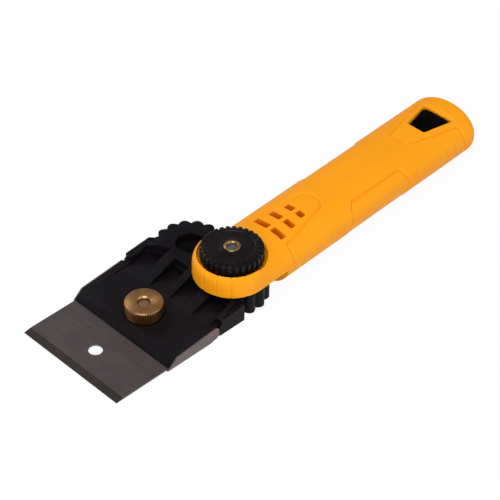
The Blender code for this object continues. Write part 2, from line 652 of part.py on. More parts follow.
def build():
    clear_scene()
    orange = material("orange_skin", (0.94, 0.36, 0.014), 0.5)
    black = material("black_nylon", (0.016, 0.016, 0.018), 0.55)
    core_black = material("black_core", (0.010, 0.010, 0.012), 0.6)
    knob_black = material("black_knob", (0.012, 0.012, 0.014), 0.45)
    blade_steel = material("blade_steel", (0.10, 0.085, 0.082), 0.38, 1.0)
    plate_steel = material("plate_steel", (0.56, 0.53, 0.52), 0.35, 1.0)
    stud_steel = material("stud_steel", (0.50, 0.49, 0.48), 0.35, 1.0)
    bolt_steel = material("bolt_steel", (0.48, 0.47, 0.46), 0.38, 1.0)
    washer_steel = material("washer_steel", (0.52, 0.51, 0.50), 0.3, 1.0)
    nut_brass = material("nut_brass", (0.45, 0.29, 0.12), 0.3, 1.0)
    insert_brass = material("insert_brass", (0.52, 0.33, 0.14), 0.28, 1.0)

    finish(blade(), "blade", blade_steel, CLAMP_AXIS)
    finish(clamp_plate(), "clamp_plate", plate_steel, CLAMP_AXIS)
    finish(clamp_stud(), "clamp_stud", stud_steel, CLAMP_AXIS)
    finish(clamp_nut(), "clamp_nut", nut_brass, CLAMP_AXIS)
    finish(head_body(), "head_body", black, PIVOT)
    finish(pivot_bolt(), "pivot_bolt", bolt_steel, PIVOT)
    finish(handle_skin(), "handle_skin", orange, PIVOT, SWIVEL_AT_REST)
    finish(handle_core(), "handle_core", core_black, PIVOT, SWIVEL_AT_REST)
    finish(knob_washer(), "knob_washer", washer_steel, PIVOT)
    finish(knob_insert(), "knob_insert", insert_brass, PIVOT)
    finish(knob_body(), "knob_body", knob_black, PIVOT)


build()
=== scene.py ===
"""Looks of the blade scraper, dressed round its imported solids: a finely moulded grip, head and knob,
turned brass, ground and plated steel, a pale floor, soft light and the photograph's camera.

Sizes are in millimetres in the row frame, and MM turns them into metres. Lamps are placed in metres.
Heights and places come from the frame. The grip is built again here with its own sizes, close to the
solid's, because its seams, slots, hang hole and rear end are finer than the solid's.
"""
import json
import math

import bmesh
import bpy
import numpy as np
from mathutils import Matrix, Vector

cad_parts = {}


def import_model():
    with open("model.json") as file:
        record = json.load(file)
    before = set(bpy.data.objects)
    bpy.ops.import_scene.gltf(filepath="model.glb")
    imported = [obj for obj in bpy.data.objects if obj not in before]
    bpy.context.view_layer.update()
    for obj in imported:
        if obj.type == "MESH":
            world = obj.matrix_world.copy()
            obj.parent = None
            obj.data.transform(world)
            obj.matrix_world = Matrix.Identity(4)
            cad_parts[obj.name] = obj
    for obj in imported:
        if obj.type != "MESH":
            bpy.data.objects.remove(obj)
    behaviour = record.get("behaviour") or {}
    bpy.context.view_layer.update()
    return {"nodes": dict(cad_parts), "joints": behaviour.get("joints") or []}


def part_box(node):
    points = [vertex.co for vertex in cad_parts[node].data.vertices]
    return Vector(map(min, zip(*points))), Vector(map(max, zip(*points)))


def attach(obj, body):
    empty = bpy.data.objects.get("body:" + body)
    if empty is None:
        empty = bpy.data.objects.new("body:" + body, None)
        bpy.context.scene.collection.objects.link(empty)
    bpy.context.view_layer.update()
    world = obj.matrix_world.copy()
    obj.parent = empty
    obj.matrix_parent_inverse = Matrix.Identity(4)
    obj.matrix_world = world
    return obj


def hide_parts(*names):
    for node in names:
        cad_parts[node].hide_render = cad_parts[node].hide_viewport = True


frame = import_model()

MM = 0.001
JOINTS = {joint["name"]: joint for joint in frame["joints"]}


def low(node):
    """Lowest corner of a solid, in millimetres."""
    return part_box(node)[0] / MM


def high(node):
    """Highest corner of a solid, in millimetres."""
    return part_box(node)[1] / MM


# Places taken from the frame
PIVOT = Vector(JOINTS["head_swivel"]["pos_m"]) / MM
CLAMP_AXIS = Vector(JOINTS["clamp_nut_turn"]["pos_m"]) / MM
KNOB_BOTTOM = low("knob_body").z
KNOB_TOP = high("knob_body").z
KNOB_RADIUS = (high("knob_body").y - low("knob_body").y) / 2
KNOB_SEAT = high("knob_washer").z
WASHER_BOTTOM = low("knob_washer").z
WASHER_RADIUS = (high("knob_washer").y - low("knob_washer").y) / 2
INSERT_TOP = high("knob_insert").z
NUT_BOTTOM = low("clamp_nut").z
NUT_TOP = high("clamp_nut").z
NUT_RADIUS = (high("clamp_nut").y - low("clamp_nut").y) / 2
GRIP_TOP = high("handle_skin").z
BLADE_FRONT = low("blade").x

# The grip's form: u runs back from the pivot along the grip, v across it
GRIP_TURN = math.radians(2.3)
GRIP_HALF_WIDTH = 20.6
GRIP_WIDEST = 17.4
GRIP_LENGTH = 178.4
TOP_POWER = 2.3
BELLY_POWER = 2.0
CAP = math.radians(80)
SECTION_POINTS = 800
END_ROUND = 4.0
END_CORNER = 9.0
END_BOW = 8.0
HUB_RISE = 12.6
HUB_POWER = 5.0
HUB_BLEND = 19.5
LAP_HEIGHT = 15.6
LAP_STEP = 21.0
BOSS_RADIUS = 6.7
BOSS_BOTTOM = 11.1
BOSS_CHAMFER = 0.5
BOSS_OVERLAP = 1.0
BOLT_BORE = 2.8
SEAT_GAP = 0.3
RECESS_RADIUS = KNOB_RADIUS + 0.8
RECESS_FLARE = 0.6
RECESS_FLARE_RISE = 2.0

# Fineness of the grip's mesh
FINE_STEP = 0.32
FINE_BELOW_WIDEST = 8.0
COARSE_STEP = 1.1
FRONT_POINTS = 110
SIDE_POINTS = 540
CORNER_POINTS = 22
REAR_POINTS = 20
FLAT_RINGS = 12

# The grip's moulded details
SEAM_DEPTH = 0.90
SEAM_WIDTH = 0.60
LOW_SEAM_DEPTH = 0.70
PANEL_DEPTH = 0.55
PANEL_EDGE = 0.7
HUB_LINE_DEPTH = 0.35
HUB_LINE_WIDTH = 0.40
HUB_LINE_COUNT = 16
HUB_LINE_END = -1.0
RIB_DEPTH = 0.35
RIB_WIDTH = 0.9
RIM_ROUND = 0.5
RECESS_RIM_SHARE = 0.5
SLOT_ROWS = 3
SLOT_START = 28.4
SLOT_PITCH = 9.6
SLOT_LENGTH = 3.7
SLOT_WIDTH = 8.7
SLOT_NARROWING = 1.95
SLOT_MIDDLE_GAP = 2.6
SLOT_MIDDLE = -0.4
SLOT_SLANT = 0.8
SLOT_DEPTH = 6.5
SLOT_CORNER = 0.5
SLOT_CHAMFER = 0.3
SLOT_ROOM = 15.0
SLOT_ROOM_END = 54.0
SLOT_FLOOR = 1.0
SLOT_FACE_MARGIN = 0.05
HOLE_START = 144.7
HOLE_LENGTH = 19.8
HOLE_FRONT_WIDTH = 11.6
HOLE_REAR_WIDTH = 20.0
HOLE_CORNER = 1.4
HOLE_FLARE = 1.3
HOLE_FLARE_DEPTH = 1.7
HOLE_FLARE_FRONT_SHARE = 0.2
HOLE_FLARE_REAR_SHARE = 0.5

# Knob, insert and nut
KNOB_TRIM = 0.3
KNOB_TEETH = 30
TOOTH_POINTS = 12
TOOTH_DEPTH = 1.1
TOOTH_LAND = 0.55
TOOTH_SLOPE = 0.25
TREAD_RUN = 4.0
TREAD_DEPTH = 0.7
KNOB_BEVEL = 1.3
INSERT_RADIUS = 4.5
INSERT_BORE = 2.65
COLLAR_WIDTH = 2.8
COLLAR_HEIGHT = 1.5
COLLAR_ROOM_WIDTH = 3.2
COLLAR_ROOM_HEIGHT = 1.8
KNURL_TEETH = 54
KNURL_POINTS = 6
KNURL_DEPTH = 0.50
NUT_CHAMFER = 0.45
NUT_BORE = 3.15

# Softened edges and the blade's ground strips
HEAD_BEVEL = 0.35
PLATE_BEVEL = 0.14
STUD_BEVEL = 0.2
BOLT_BEVEL = 0.3
WASHER_BEVEL = 0.12
BLADE_BEVEL = 0.05
GROUND_LEAST_TILT = 0.005
GROUND_MOST_TILT = 0.2
GROUND_REACH = 0.3
SHARP_ANGLE = math.radians(34)
KNOB_SHARP_ANGLE = math.radians(28)
NUT_SHARP_ANGLE = math.radians(24)
BLADE_SHARP_ANGLE = math.radians(4)

# How far cutters reach past what they cut, and a rim's flare past the top
CUT_MARGIN = 4.0
CUT_SKIM = 0.02

# Stage, light and camera
FLOOR_REACH = 2500
FLOOR_GREY = 0.86
FLOOR_ROUGHNESS = 0.9
FLOOR_WHITE_SHARE = 0.95
FLOOR_MIRRORED_SHARE = 0.35
SKY_STRENGTH = 0.30
CAMERA_AZIMUTH = math.radians(-45.16)
CAMERA_ELEVATION = math.radians(41.18)
CAMERA_ROLL = math.radians(1.11)
CAMERA_TARGET = (76.68, 1.26, 1.9)
CAMERA_DISTANCE = 1215.54
CAMERA_SENSOR = 36
CAMERA_LENS = 165.7
CAMERA_SHIFT = -0.0010


# Mesh helpers


def mesh_object(name, points, faces):
    """A mesh object from points in millimetres."""
    mesh = bpy.data.meshes.new(name)
    mesh.from_pydata([tuple(c * MM for c in p) for p in points], [], faces)
    mesh.update()
    body = bpy.data.objects.new(name, mesh)
    bpy.context.scene.collection.objects.link(body)
    return body


def ring_faces(levels, count, closed_levels=False):
    """Quads between rings of equal counts, laid level by level."""
    faces = []
    for i in range(levels if closed_levels else levels - 1):
        a = i * count
        b = ((i + 1) % levels) * count
        for j in range(count):
            k = (j + 1) % count
            faces.append((a + j, a + k, b + k, b + j))
    return faces


def ring_stack(name, rings, hollow=False):
    """A body through rings of equal counts, closed by end faces or, if hollow, back on its first ring."""
    count = len(rings[0])
    points = [p for ring in rings for p in ring]
    faces = ring_faces(len(rings), count, hollow)
    if not hollow:
        faces.append(tuple(reversed(range(count))))
        faces.append(tuple(range(len(points) - count, len(points))))
    body = mesh_object(name, points, faces)
    face_outward(body)
    return body


def face_outward(body):
    """Turns all faces of a closed body outward."""
    work = bmesh.new()
    work.from_mesh(body.data)
    bmesh.ops.recalc_face_normals(work, faces=work.faces)
    work.to_mesh(body.data)
    work.free()


def circle(radius, height, centre=(0.0, 0.0), count=64):
    """Points of a level circle."""
    turns = [2 * math.pi * i / count for i in range(count)]
    return [(centre[0] + radius * math.cos(t), centre[1] + radius * math.sin(t), height) for t in turns]


def turned(name, profile, centre, hollow=False, count=64):
    """A body turned about an upright axis, from its profile of radii and heights."""
    return ring_stack(name, [circle(r, z, centre, count) for r, z in profile], hollow)


def rounded_outline(corners, radius, steps=5):
    """An outline with its corners rounded, from corners given in order."""
    outline = []
    for i, corner in enumerate(corners):
        here = Vector(corner)
        before = (Vector(corners[i - 1]) - here).normalized()
        after = (Vector(corners[(i + 1) % len(corners)]) - here).normalized()
        half = before.angle(after) / 2
        centre = here + (before + after).normalized() * radius / math.sin(half)
        start = here + before * radius / math.tan(half) - centre
        end = here + after * radius / math.tan(half) - centre
        for step in range(steps + 1):
            share = step / steps
            outline.append(tuple(centre + (start * (1 - share) + end * share).normalized() * radius))
    return outline


def combine(body, other, operation, keep=False):
    """Applies a Boolean to a body, and removes the other one unless it is kept."""
    modifier = body.modifiers.new(operation, "BOOLEAN")
    modifier.operation = operation
    modifier.solver = "EXACT"
    modifier.object = other
    apply_modifiers(body)
    if not keep:
        bpy.data.objects.remove(other)


def apply_modifiers(body):
    """Replaces a body's mesh by what its modifiers make of it."""
    shaped = bpy.data.meshes.new_from_object(body.evaluated_get(bpy.context.evaluated_depsgraph_get()))
    body.modifiers.clear()
    body.data = shaped


def smooth(body, angle=SHARP_ANGLE):
    """Shades a body smooth, apart from edges sharper than the angle."""
    body.data.shade_smooth()
    body.data.set_sharp_from_angle(angle=angle)


def welded_copy(name, node):
    """A copy of a solid's mesh, with its split corners welded and its flat faces whole."""
    body = bpy.data.objects.new(name, frame["nodes"][node].data.copy())
    bpy.context.scene.collection.objects.link(body)
    work = bmesh.new()
    work.from_mesh(body.data)
    bmesh.ops.remove_doubles(work, verts=work.verts, dist=1e-7)
    bmesh.ops.dissolve_limit(work, angle_limit=math.radians(0.5), verts=work.verts, edges=work.edges)
    work.to_mesh(body.data)
    work.free()
    return body


def solid_copy(name, node, bevel, segments=2, sharp=SHARP_ANGLE):
    """A copy of a solid's mesh with its edges softened by a bevel and its flat faces shaded flat."""
    body = welded_copy(name, node)
    modifier = body.modifiers.new("soft edges", "BEVEL")
    modifier.width = bevel * MM
    modifier.segments = segments
    modifier.limit_method = "ANGLE"
    modifier.angle_limit = sharp
    apply_modifiers(body)
    smooth(body, sharp)
    body.modifiers.new("flat faces", "WEIGHTED_NORMAL").keep_sharp = True
    apply_modifiers(body)
    return body


def dress(body, surfaces, rides_on, node):
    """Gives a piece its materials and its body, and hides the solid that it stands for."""
    marks = np.empty(len(body.data.polygons), np.int32)
    body.data.polygons.foreach_get("material_index", marks)
    body.data.materials.clear()
    for surface in surfaces:
        body.data.materials.append(surface)
    body.data.polygons.foreach_set("material_index", np.minimum(marks, len(surfaces) - 1))
    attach(body, rides_on)
    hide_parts(node)
    return body


# Materials


class Surface:
    """A node material under construction, with its noise in millimetres of the row frame."""

    def __init__(self, name, roughness, metallic=0.0, specular=0.5):
        self.material = bpy.data.materials.new(name)
        self.material.use_nodes = True
        self.nodes = self.material.node_tree.nodes
        self.links = self.material.node_tree.links
        self.shader = self.nodes["Principled BSDF"]
        self.shader.inputs["Roughness"].default_value = roughness
        self.shader.inputs["Metallic"].default_value = metallic
        self.shader.inputs["Specular IOR Level"].default_value = specular
        self.place = self.nodes.new("ShaderNodeTexCoord").outputs["Object"]
        self.normal = None

    def stretched(self, scale, centre=(0, 0, 0)):
        """Object coordinates moved to a centre and scaled on each axis."""
        mapping = self.nodes.new("ShaderNodeMapping")
        mapping.vector_type = "TEXTURE"
        mapping.inputs["Location"].default_value = [c * MM for c in centre]
        mapping.inputs["Scale"].default_value = scale
        self.links.new(self.place, mapping.inputs["Vector"])
        return mapping.outputs["Vector"]

    def noise(self, size, detail=3.0, place=None):
        """Noise whose features are about this many millimetres across."""
        node = self.nodes.new("ShaderNodeTexNoise")
        node.inputs["Scale"].default_value = 1 / (size * MM)
        node.inputs["Detail"].default_value = detail
        self.links.new(place or self.place, node.inputs["Vector"])
        return node.outputs["Fac"]

    def rings(self, pitch, centre):
        """Turning marks: rings of this pitch about an upright axis."""
        node = self.nodes.new("ShaderNodeTexWave")
        node.wave_type = "RINGS"
        node.rings_direction = "Z"
        node.inputs["Scale"].default_value = 2 * math.pi / (20 * pitch * MM)
        node.inputs["Distortion"].default_value = 0.4
        self.links.new(self.stretched((1, 1, 1), centre), node.inputs["Vector"])
        return node.outputs["Fac"]

    def ramp(self, value, stops):
        """A colour ramp over a value, from places and colours."""
        node = self.nodes.new("ShaderNodeValToRGB")
        elements = node.color_ramp.elements
        while len(elements) < len(stops):
            elements.new(0.5)
        for element, (position, colour) in zip(elements, stops):
            element.position = position
            element.color = (*colour, 1)
        self.links.new(value, node.inputs["Fac"])
        return node.outputs["Color"]

    def spread(self, value, least, most):
        """A value mapped from 0.3 to 0.7, the usual reach of noise, onto a range."""
        node = self.nodes.new("ShaderNodeMapRange")
        node.inputs["From Min"].default_value = 0.3
        node.inputs["From Max"].default_value = 0.7
        node.inputs["To Min"].default_value = least
        node.inputs["To Max"].default_value = most
        self.links.new(value, node.inputs["Value"])
        return node.outputs["Result"]

    def colour(self, output):
        """Takes the base colour from an output."""
        self.links.new(output, self.shader.inputs["Base Color"])
        return self

    def roughness(self, output):
        """Takes the roughness from an output."""
        self.links.new(output, self.shader.inputs["Roughness"])
        return self

    def bump(self, height, depth, strength=1.0):
        """Adds relief of about this depth in millimetres."""
        node = self.nodes.new("ShaderNodeBump")
        node.inputs["Strength"].default_value = strength
        node.inputs["Distance"].default_value = depth * MM
        self.links.new(height, node.inputs["Height"])
        if self.normal:
            self.links.new(self.normal, node.inputs["Normal"])
        self.normal = node.outputs["Normal"]
        self.links.new(self.normal, self.shader.inputs["Normal"])
        return self


def orange_plastic(name, dark, light):
    """Satin yellow-orange moulding with a fine spark-eroded texture."""
    s = Surface(name, 0.45, specular=0.14)
    broad = s.noise(30, 2)
    fine = s.noise(0.45, 2)
    s.colour(s.ramp(broad, [(0.3, dark), (0.7, light)]))
    s.roughness(s.spread(s.noise(3, 3), 0.42, 0.52))
    return s.bump(fine, 0.02, 0.5).material


def black_plastic(name, dark, light, roughness, specular=0.1):
    """Matt black moulding with a faint tint, handling marks and a fine texture."""
    s = Surface(name, roughness, specular=specular)
    s.colour(s.ramp(s.noise(9, 4), [(0.35, dark), (0.65, light)]))
    s.roughness(s.spread(s.noise(2.5, 4), roughness - 0.05, roughness + 0.08))
    return s.bump(s.noise(0.5, 3), 0.03, 0.5).material


def ground_steel(name, dark, light, roughness):
    """Tool steel ground along its length, with fine scratches and faint stains; its dark colour is painted
    shade for the dark surroundings that it reflects.
    """
    s = Surface(name, roughness, metallic=0.9)
    lines = s.noise(0.35, 4, s.stretched((1, 60, 1)))
    stains = s.noise(14, 4)
    s.colour(s.ramp(stains, [(0.3, dark), (0.7, light)]))
    s.roughness(s.spread(lines, roughness - 0.08, roughness + 0.12))
    return s.bump(lines, 0.003, 0.5).material


def bright_steel(name, dark, light, roughness):
    """Plated or plain steel with fine drawn lines along the tool."""
    s = Surface(name, roughness, metallic=0.9)
    lines = s.noise(0.5, 4, s.stretched((40, 1, 1)))
    s.colour(s.ramp(s.noise(5, 3), [(0.3, dark), (0.7, light)]))
    s.roughness(s.spread(lines, roughness - 0.06, roughness + 0.1))
    return s.bump(lines, 0.008, 0.6).material


def turned_brass(name, centre, dark, light):
    """Brass with turning marks about its axis and slight tarnish."""
    s = Surface(name, 0.3, metallic=1.0)
    s.colour(s.ramp(s.noise(3, 4), [(0.3, dark), (0.7, light)]))
    s.roughness(s.spread(s.noise(2.5, 3), 0.26, 0.34))
    return s.bump(s.rings(0.34, centre), 0.035, 0.8).material


# The grip


def grip_section():
    """Half-widths, heights and girths down the grip's section, from its flat top's edge to its bottom."""
    top = np.linspace(CAP, 0, SECTION_POINTS)
    belly = np.linspace(0, CAP, SECTION_POINTS)[1:]
    width = np.concatenate([np.cos(top) ** (2 / TOP_POWER), np.cos(belly) ** (2 / BELLY_POWER), [0]])
    rise = (GRIP_TOP - GRIP_WIDEST) * (np.sin(top) / math.sin(CAP)) ** (2 / TOP_POWER)
    fall = GRIP_WIDEST * (np.sin(belly) / math.sin(CAP)) ** (2 / BELLY_POWER)
    height = GRIP_WIDEST + np.concatenate([rise, -fall, [-GRIP_WIDEST]])
    width = width * GRIP_HALF_WIDTH
    girth = width[0] + np.concatenate([[0], np.cumsum(np.hypot(np.diff(width), np.diff(height)))])
    return width, height, girth


SECTION_WIDTH, SECTION_HEIGHT, SECTION_GIRTH = grip_section()
WIDEST_GIRTH = float(np.interp(-GRIP_WIDEST, -SECTION_HEIGHT, SECTION_GIRTH))
FLAT_WIDTH = float(SECTION_WIDTH[0])


def girth_down(height):
    """Girth from the top line down to a height."""
    return float(np.interp(-height, -SECTION_HEIGHT, SECTION_GIRTH))


def hub_width(height, half_width):
    """Half-width of the hub at a height: its side is nearly upright under a full round shoulder."""
    if height <= GRIP_WIDEST:
        return half_width
    return GRIP_HALF_WIDTH * (1 - ((height - GRIP_WIDEST) / HUB_RISE) ** HUB_POWER) ** (1 / HUB_POWER)


def side_width(u, hub, half_width):
    """Half-width at a place along the grip, where the hub's width draws in to the grip's."""
    return np.interp(u, [0, HUB_BLEND], [hub, half_width])


def end_bow(v):
    """How far the bowed rear end falls back from its middle, at a place across the grip."""
    return END_BOW * (v / GRIP_HALF_WIDTH) ** 2


def half_ring(half_width, hub, end, corner):
    """The right-hand half of a level outline, from the front of the hub to the middle of the rear end."""
    front = np.linspace(math.pi, 1.5 * math.pi, FRONT_POINTS)
    side = np.linspace(0, end - corner, SIDE_POINTS + 1)[1:]
    turn = np.linspace(-math.pi / 2, 0, CORNER_POINTS + 1)[1:]
    corner_v = corner - half_width + corner * np.sin(turn)
    corner_u = end - corner + corner * np.cos(turn) - end_bow(corner_v) * (1 + np.sin(turn))
    rear_v = np.linspace(corner - half_width, 0, REAR_POINTS + 1)[1:]
    u = [hub * np.cos(front), side, corner_u, end - end_bow(rear_v)]
    v = [hub * np.sin(front), -side_width(side, hub, half_width), corner_v, rear_v]
    return np.concatenate(u), np.concatenate(v)


def level_ring(girth):
    """A level outline of the grip at a girth from its top line: a copy of the flat's rim inside the flat."""
    inner = min(girth / FLAT_WIDTH, 1)
    half_width = float(np.interp(girth, SECTION_GIRTH, SECTION_WIDTH)) * inner
    height = float(np.interp(girth, SECTION_GIRTH, SECTION_HEIGHT))
    share = max(half_width, FLAT_WIDTH if girth < WIDEST_GIRTH else 0) / GRIP_HALF_WIDTH
    end = GRIP_LENGTH - END_ROUND * (1 - share) - FLAT_WIDTH * (1 - inner)
    u, v = half_ring(half_width, hub_width(height, half_width) * inner, end, END_CORNER * share * inner)
    u = np.concatenate([u, u[-2:0:-1]])
    v = np.concatenate([v, -v[-2:0:-1]])
    return np.stack([u, v, np.full(len(u), height)], axis=1)


def grip_grid():
    """Points of the plain grip by level and place round the outline, with the girth of each level."""
    flat = (np.arange(FLAT_RINGS) + 0.5) / FLAT_RINGS * FLAT_WIDTH
    fine = np.arange(FLAT_WIDTH, WIDEST_GIRTH + FINE_BELOW_WIDEST, FINE_STEP)
    coarse = np.arange(fine[-1] + COARSE_STEP, SECTION_GIRTH[-1] - COARSE_STEP, COARSE_STEP)
    girths = np.concatenate([flat, fine, coarse])
    return np.array([level_ring(girth) for girth in girths]), girths


def grid_normals(grid):
    """Outward normals of the grip's grid."""
    along = np.roll(grid, -1, axis=1) - np.roll(grid, 1, axis=1)
    down = np.gradient(grid, axis=0)
    normal = np.cross(down, along)
    normal /= np.maximum(np.linalg.norm(normal, axis=2, keepdims=True), 1e-9)
    normal[:FLAT_RINGS] = (0, 0, 1)
    return normal


def line_distance(u, q, line):
    """Distance of each point to a line through points, on the unrolled surface."""
    nearest = np.full(u.shape, 1e9)
    for (u0, q0), (u1, q1) in zip(line, line[1:]):
        du, dq = u1 - u0, q1 - q0
        share = np.clip(((u - u0) * du + (q - q0) * dq) / (du * du + dq * dq), 0, 1)
        nearest = np.minimum(nearest, np.hypot(u - u0 - share * du, q - q0 - share * dq))
    return nearest


def inside(u, q, outline):
    """Whether each point lies inside a closed outline."""
    odd = np.zeros(u.shape, bool)
    for (u0, q0), (u1, q1) in zip(outline, outline[1:] + outline[:1]):
        crosses = (q0 > q) != (q1 > q)
        level = np.where(crosses, (q - q0) / ((q1 - q0) or 1e-9), 0)
        odd ^= crosses & (u < u0 + level * (u1 - u0))
    return odd


def groove(distance, depth=SEAM_DEPTH, width=SEAM_WIDTH):
    """Depth of a soft groove at a distance from its middle."""
    return depth * np.exp(-(distance / width) ** 2)


def upper_height(u, v):
    """Height of the plain grip's upper side at a place in plan."""
    least, most = GRIP_WIDEST, GRIP_TOP
    for _ in range(30):
        middle = (least + most) / 2
        half_width = float(np.interp(-middle, -SECTION_HEIGHT, SECTION_WIDTH))
        wide = side_width(u, hub_width(middle, half_width), half_width) > abs(v)
        least, most = (middle, most) if wide else (least, middle)
    return least


def space_distance(grid, line):
    """Distance of each grid point, on either side, to a line through points in space."""
    points = np.abs(grid * (0, 1, 0)) + grid * (1, 0, 1)
    nearest = np.full(grid.shape[:2], 1e9)
    for start, end in zip(np.array(line), np.array(line[1:])):
        along = end - start
        share = np.clip((points - start) @ along / (along @ along), 0, 1)
        nearest = np.minimum(nearest, np.linalg.norm(points - start - share[:, :, None] * along, axis=2))
    return nearest


def panel_depth(u, q, outline):
    """Depth of a panel that is set in behind a soft step."""
    distance = line_distance(u, q, outline + outline[:1])
    signed = np.where(inside(u, q, outline), distance, -distance)
    share = np.clip(signed / PANEL_EDGE + 0.5, 0, 1)
    return PANEL_DEPTH * share * share * (3 - 2 * share)


def rim_depth(outside_distance):
    """Depth that rounds a rim, from the distance outside its opening."""
    run = np.clip(1 - outside_distance / RIM_ROUND, 0, 1)
    return RIM_ROUND * (1 - np.sqrt(1 - run * run))


def shield_line():
    """The seam round the hub and slots: round the rear of the flat, along its side and down the flank."""
    plan = [(62.7, 0), (62.5, 3.5), (61.7, 5.7), (60.0, 7.0), (55.5, 8.2), (49.0, 9.4), (37.6, 12.0),
            (30.2, 13.2), (27.6, 13.7), (26.5, 14.8), (26.1, 16.8), (25.9, 18.6)]
    line = [(u, v, upper_height(u, v)) for u, v in plan]
    for u, z in ((25.8, 20), (26.0, 17), (26.6, 12)):
        half_width = float(np.interp(-z, -SECTION_HEIGHT, SECTION_WIDTH))
        line.append((u, float(side_width(u, hub_width(z, half_width), half_width)), z))
    return line


def side_panel():
    """The hollow that each side has behind the shield, on the unrolled surface."""
    return [(70.5, girth_down(11)), (71.1, 27.6), (72.6, 19.5), (75.0, 16.5), (76.9, 14.9), (82, 15.3),
            (111.5, 15.2), (114, 16.1), (115.2, 19.4), (117.3, 23.5), (118, 25.8), (118, girth_down(11)),
            (116, girth_down(6)), (70, girth_down(6))]


def hole_line():
    """The seam round the hang hole."""
    return [(130.4, 0), (130.7, 4.7), (131.4, 6.2), (135.4, 7.6), (141.3, 9.0), (146, 10.5), (161.7, 13.9),
            (163.5, 14.9)]


def end_line():
    """The shallower seam that goes on from there down each flank, along the end rim."""
    return [(163.5, 14.9), (163.8, 16.4), (163.4, 18.1), (163.5, 22.6), (164.9, 27.3), (166, girth_down(8))]


def flank_ribs():
    """Shallow ribs low on each flank, ahead of the side panel and behind it."""
    starts = [26.9, 36.4, 45.8, 55.2, 64.6, 123.5, 130, 136.5, 143, 149.5, 156]
    return [[(u, girth_down(20)), (u + 3, girth_down(9))] for u in starts]


def hole_outline(flare=0.0):
    """The hang hole's tapering outline, which flares towards the rear."""
    front = HOLE_FRONT_WIDTH / 2 + flare * HOLE_FLARE_FRONT_SHARE
    rear = HOLE_REAR_WIDTH / 2 + flare * HOLE_FLARE_REAR_SHARE
    end = HOLE_START + HOLE_LENGTH + flare
    corners = [(HOLE_START, -front), (end, -rear), (end, rear), (HOLE_START, front)]
    return rounded_outline(corners, HOLE_CORNER)


def grip_relief(grid, girths):
    """How far each point of the grip is set in by seams, panels, ribs and rounded rims."""
    u = grid[:, :, 0]
    v = grid[:, :, 1]
    q = np.repeat(girths[:, None], grid.shape[1], axis=1)
    depth = groove(space_distance(grid, shield_line()))
    depth = np.maximum(depth, groove(line_distance(u, q, hole_line())))
    panel = side_panel()
    for line in (end_line(), panel[:12]):
        depth = np.maximum(depth, groove(line_distance(u, q, line), LOW_SEAM_DEPTH))
    for rib in flank_ribs():
        depth = np.maximum(depth, groove(line_distance(u, q, rib), RIB_DEPTH, RIB_WIDTH))
    depth += panel_depth(u, q, panel)
    turn = (np.arctan2(v, u) + GRIP_TURN) * HUB_LINE_COUNT / 2
    across = np.hypot(u, v) * np.abs(np.sin(turn)) * 2 / HUB_LINE_COUNT
    hub_line = HUB_LINE_DEPTH * np.exp(-(across / HUB_LINE_WIDTH) ** 2)
    depth += np.where(u < HUB_LINE_END, hub_line, 0)
    hole = hole_outline(HOLE_FLARE)
    edge = line_distance(u, v, hole + hole[:1])
    upper = grid[:, :, 2] > GRIP_WIDEST
    depth += np.where(inside(u, v, hole), RIM_ROUND, rim_depth(edge))
    recess = np.hypot(u, v) - RECESS_RADIUS - RECESS_FLARE
    depth += np.where(upper & (recess > 0), rim_depth(recess) * RECESS_RIM_SHARE, 0)
    return depth


def on_grip(points):
    """Points of the grip's own frame, turned and moved to its place on the pivot."""
    cos, sin = math.cos(GRIP_TURN), math.sin(GRIP_TURN)
    return [(PIVOT.x + u * cos - v * sin, PIVOT.y + u * sin + v * cos, z) for u, v, z in points]


def grip_blank():
    """The grip's outside as one fine closed mesh.

    The caps are strips of quads, with one face at the rear, where a strip's last quads would have no area.
    """
    grid, girths = grip_grid()
    grid = grid - grid_normals(grid) * grip_relief(grid, girths)[:, :, None]
    levels, count = grid.shape[:2]
    faces = ring_faces(levels, count)
    last = (levels - 1) * count
    rear = count // 2 - REAR_POINTS - CORNER_POINTS
    caps = [[i, i + 1, (count - i - 1) % count, (count - i) % count] for i in range(rear)]
    caps.append(list(range(rear, count - rear + 1)))
    for cap in caps:
        cap = list(dict.fromkeys(cap))
        faces.append(tuple(reversed(cap)))
        faces.append(tuple(last + k for k in cap))
    body = mesh_object("grip", on_grip(grid.reshape(-1, 3)), faces)
    face_outward(body)
    return body


def prism(outlines):
    """A closed cutter through outlines at their heights, in the grip's own frame."""
    return ring_stack("cutter", [on_grip([(u, v, z) for u, v in outline]) for outline, z in outlines])


def slot_outline(row, side, grow=0.0):
    """The outline of one slot in the grip's top, to the left or the right of its middle."""
    inner = SLOT_MIDDLE_GAP / 2 - grow
    outer = SLOT_MIDDLE_GAP / 2 + SLOT_WIDTH - row * SLOT_NARROWING + grow
    front = SLOT_START + row * SLOT_PITCH - SLOT_LENGTH / 2 - grow
    rear = SLOT_START + row * SLOT_PITCH + SLOT_LENGTH / 2 + grow
    corners = [(front, inner), (rear, inner), (rear - SLOT_SLANT, outer), (front - SLOT_SLANT, outer)]
    return rounded_outline([(u, SLOT_MIDDLE + side * v) for u, v in corners], SLOT_CORNER + grow, 3)


def slot_cutter(row, side):
    """A cutter for one slot, with a small chamfer round its rim."""
    narrow = slot_outline(row, side)
    wide = slot_outline(row, side, SLOT_CHAMFER)
    return prism([(narrow, GRIP_TOP - SLOT_DEPTH), (narrow, GRIP_TOP - SLOT_CHAMFER),
                  (wide, GRIP_TOP + CUT_SKIM), (wide, GRIP_TOP + CUT_MARGIN)])


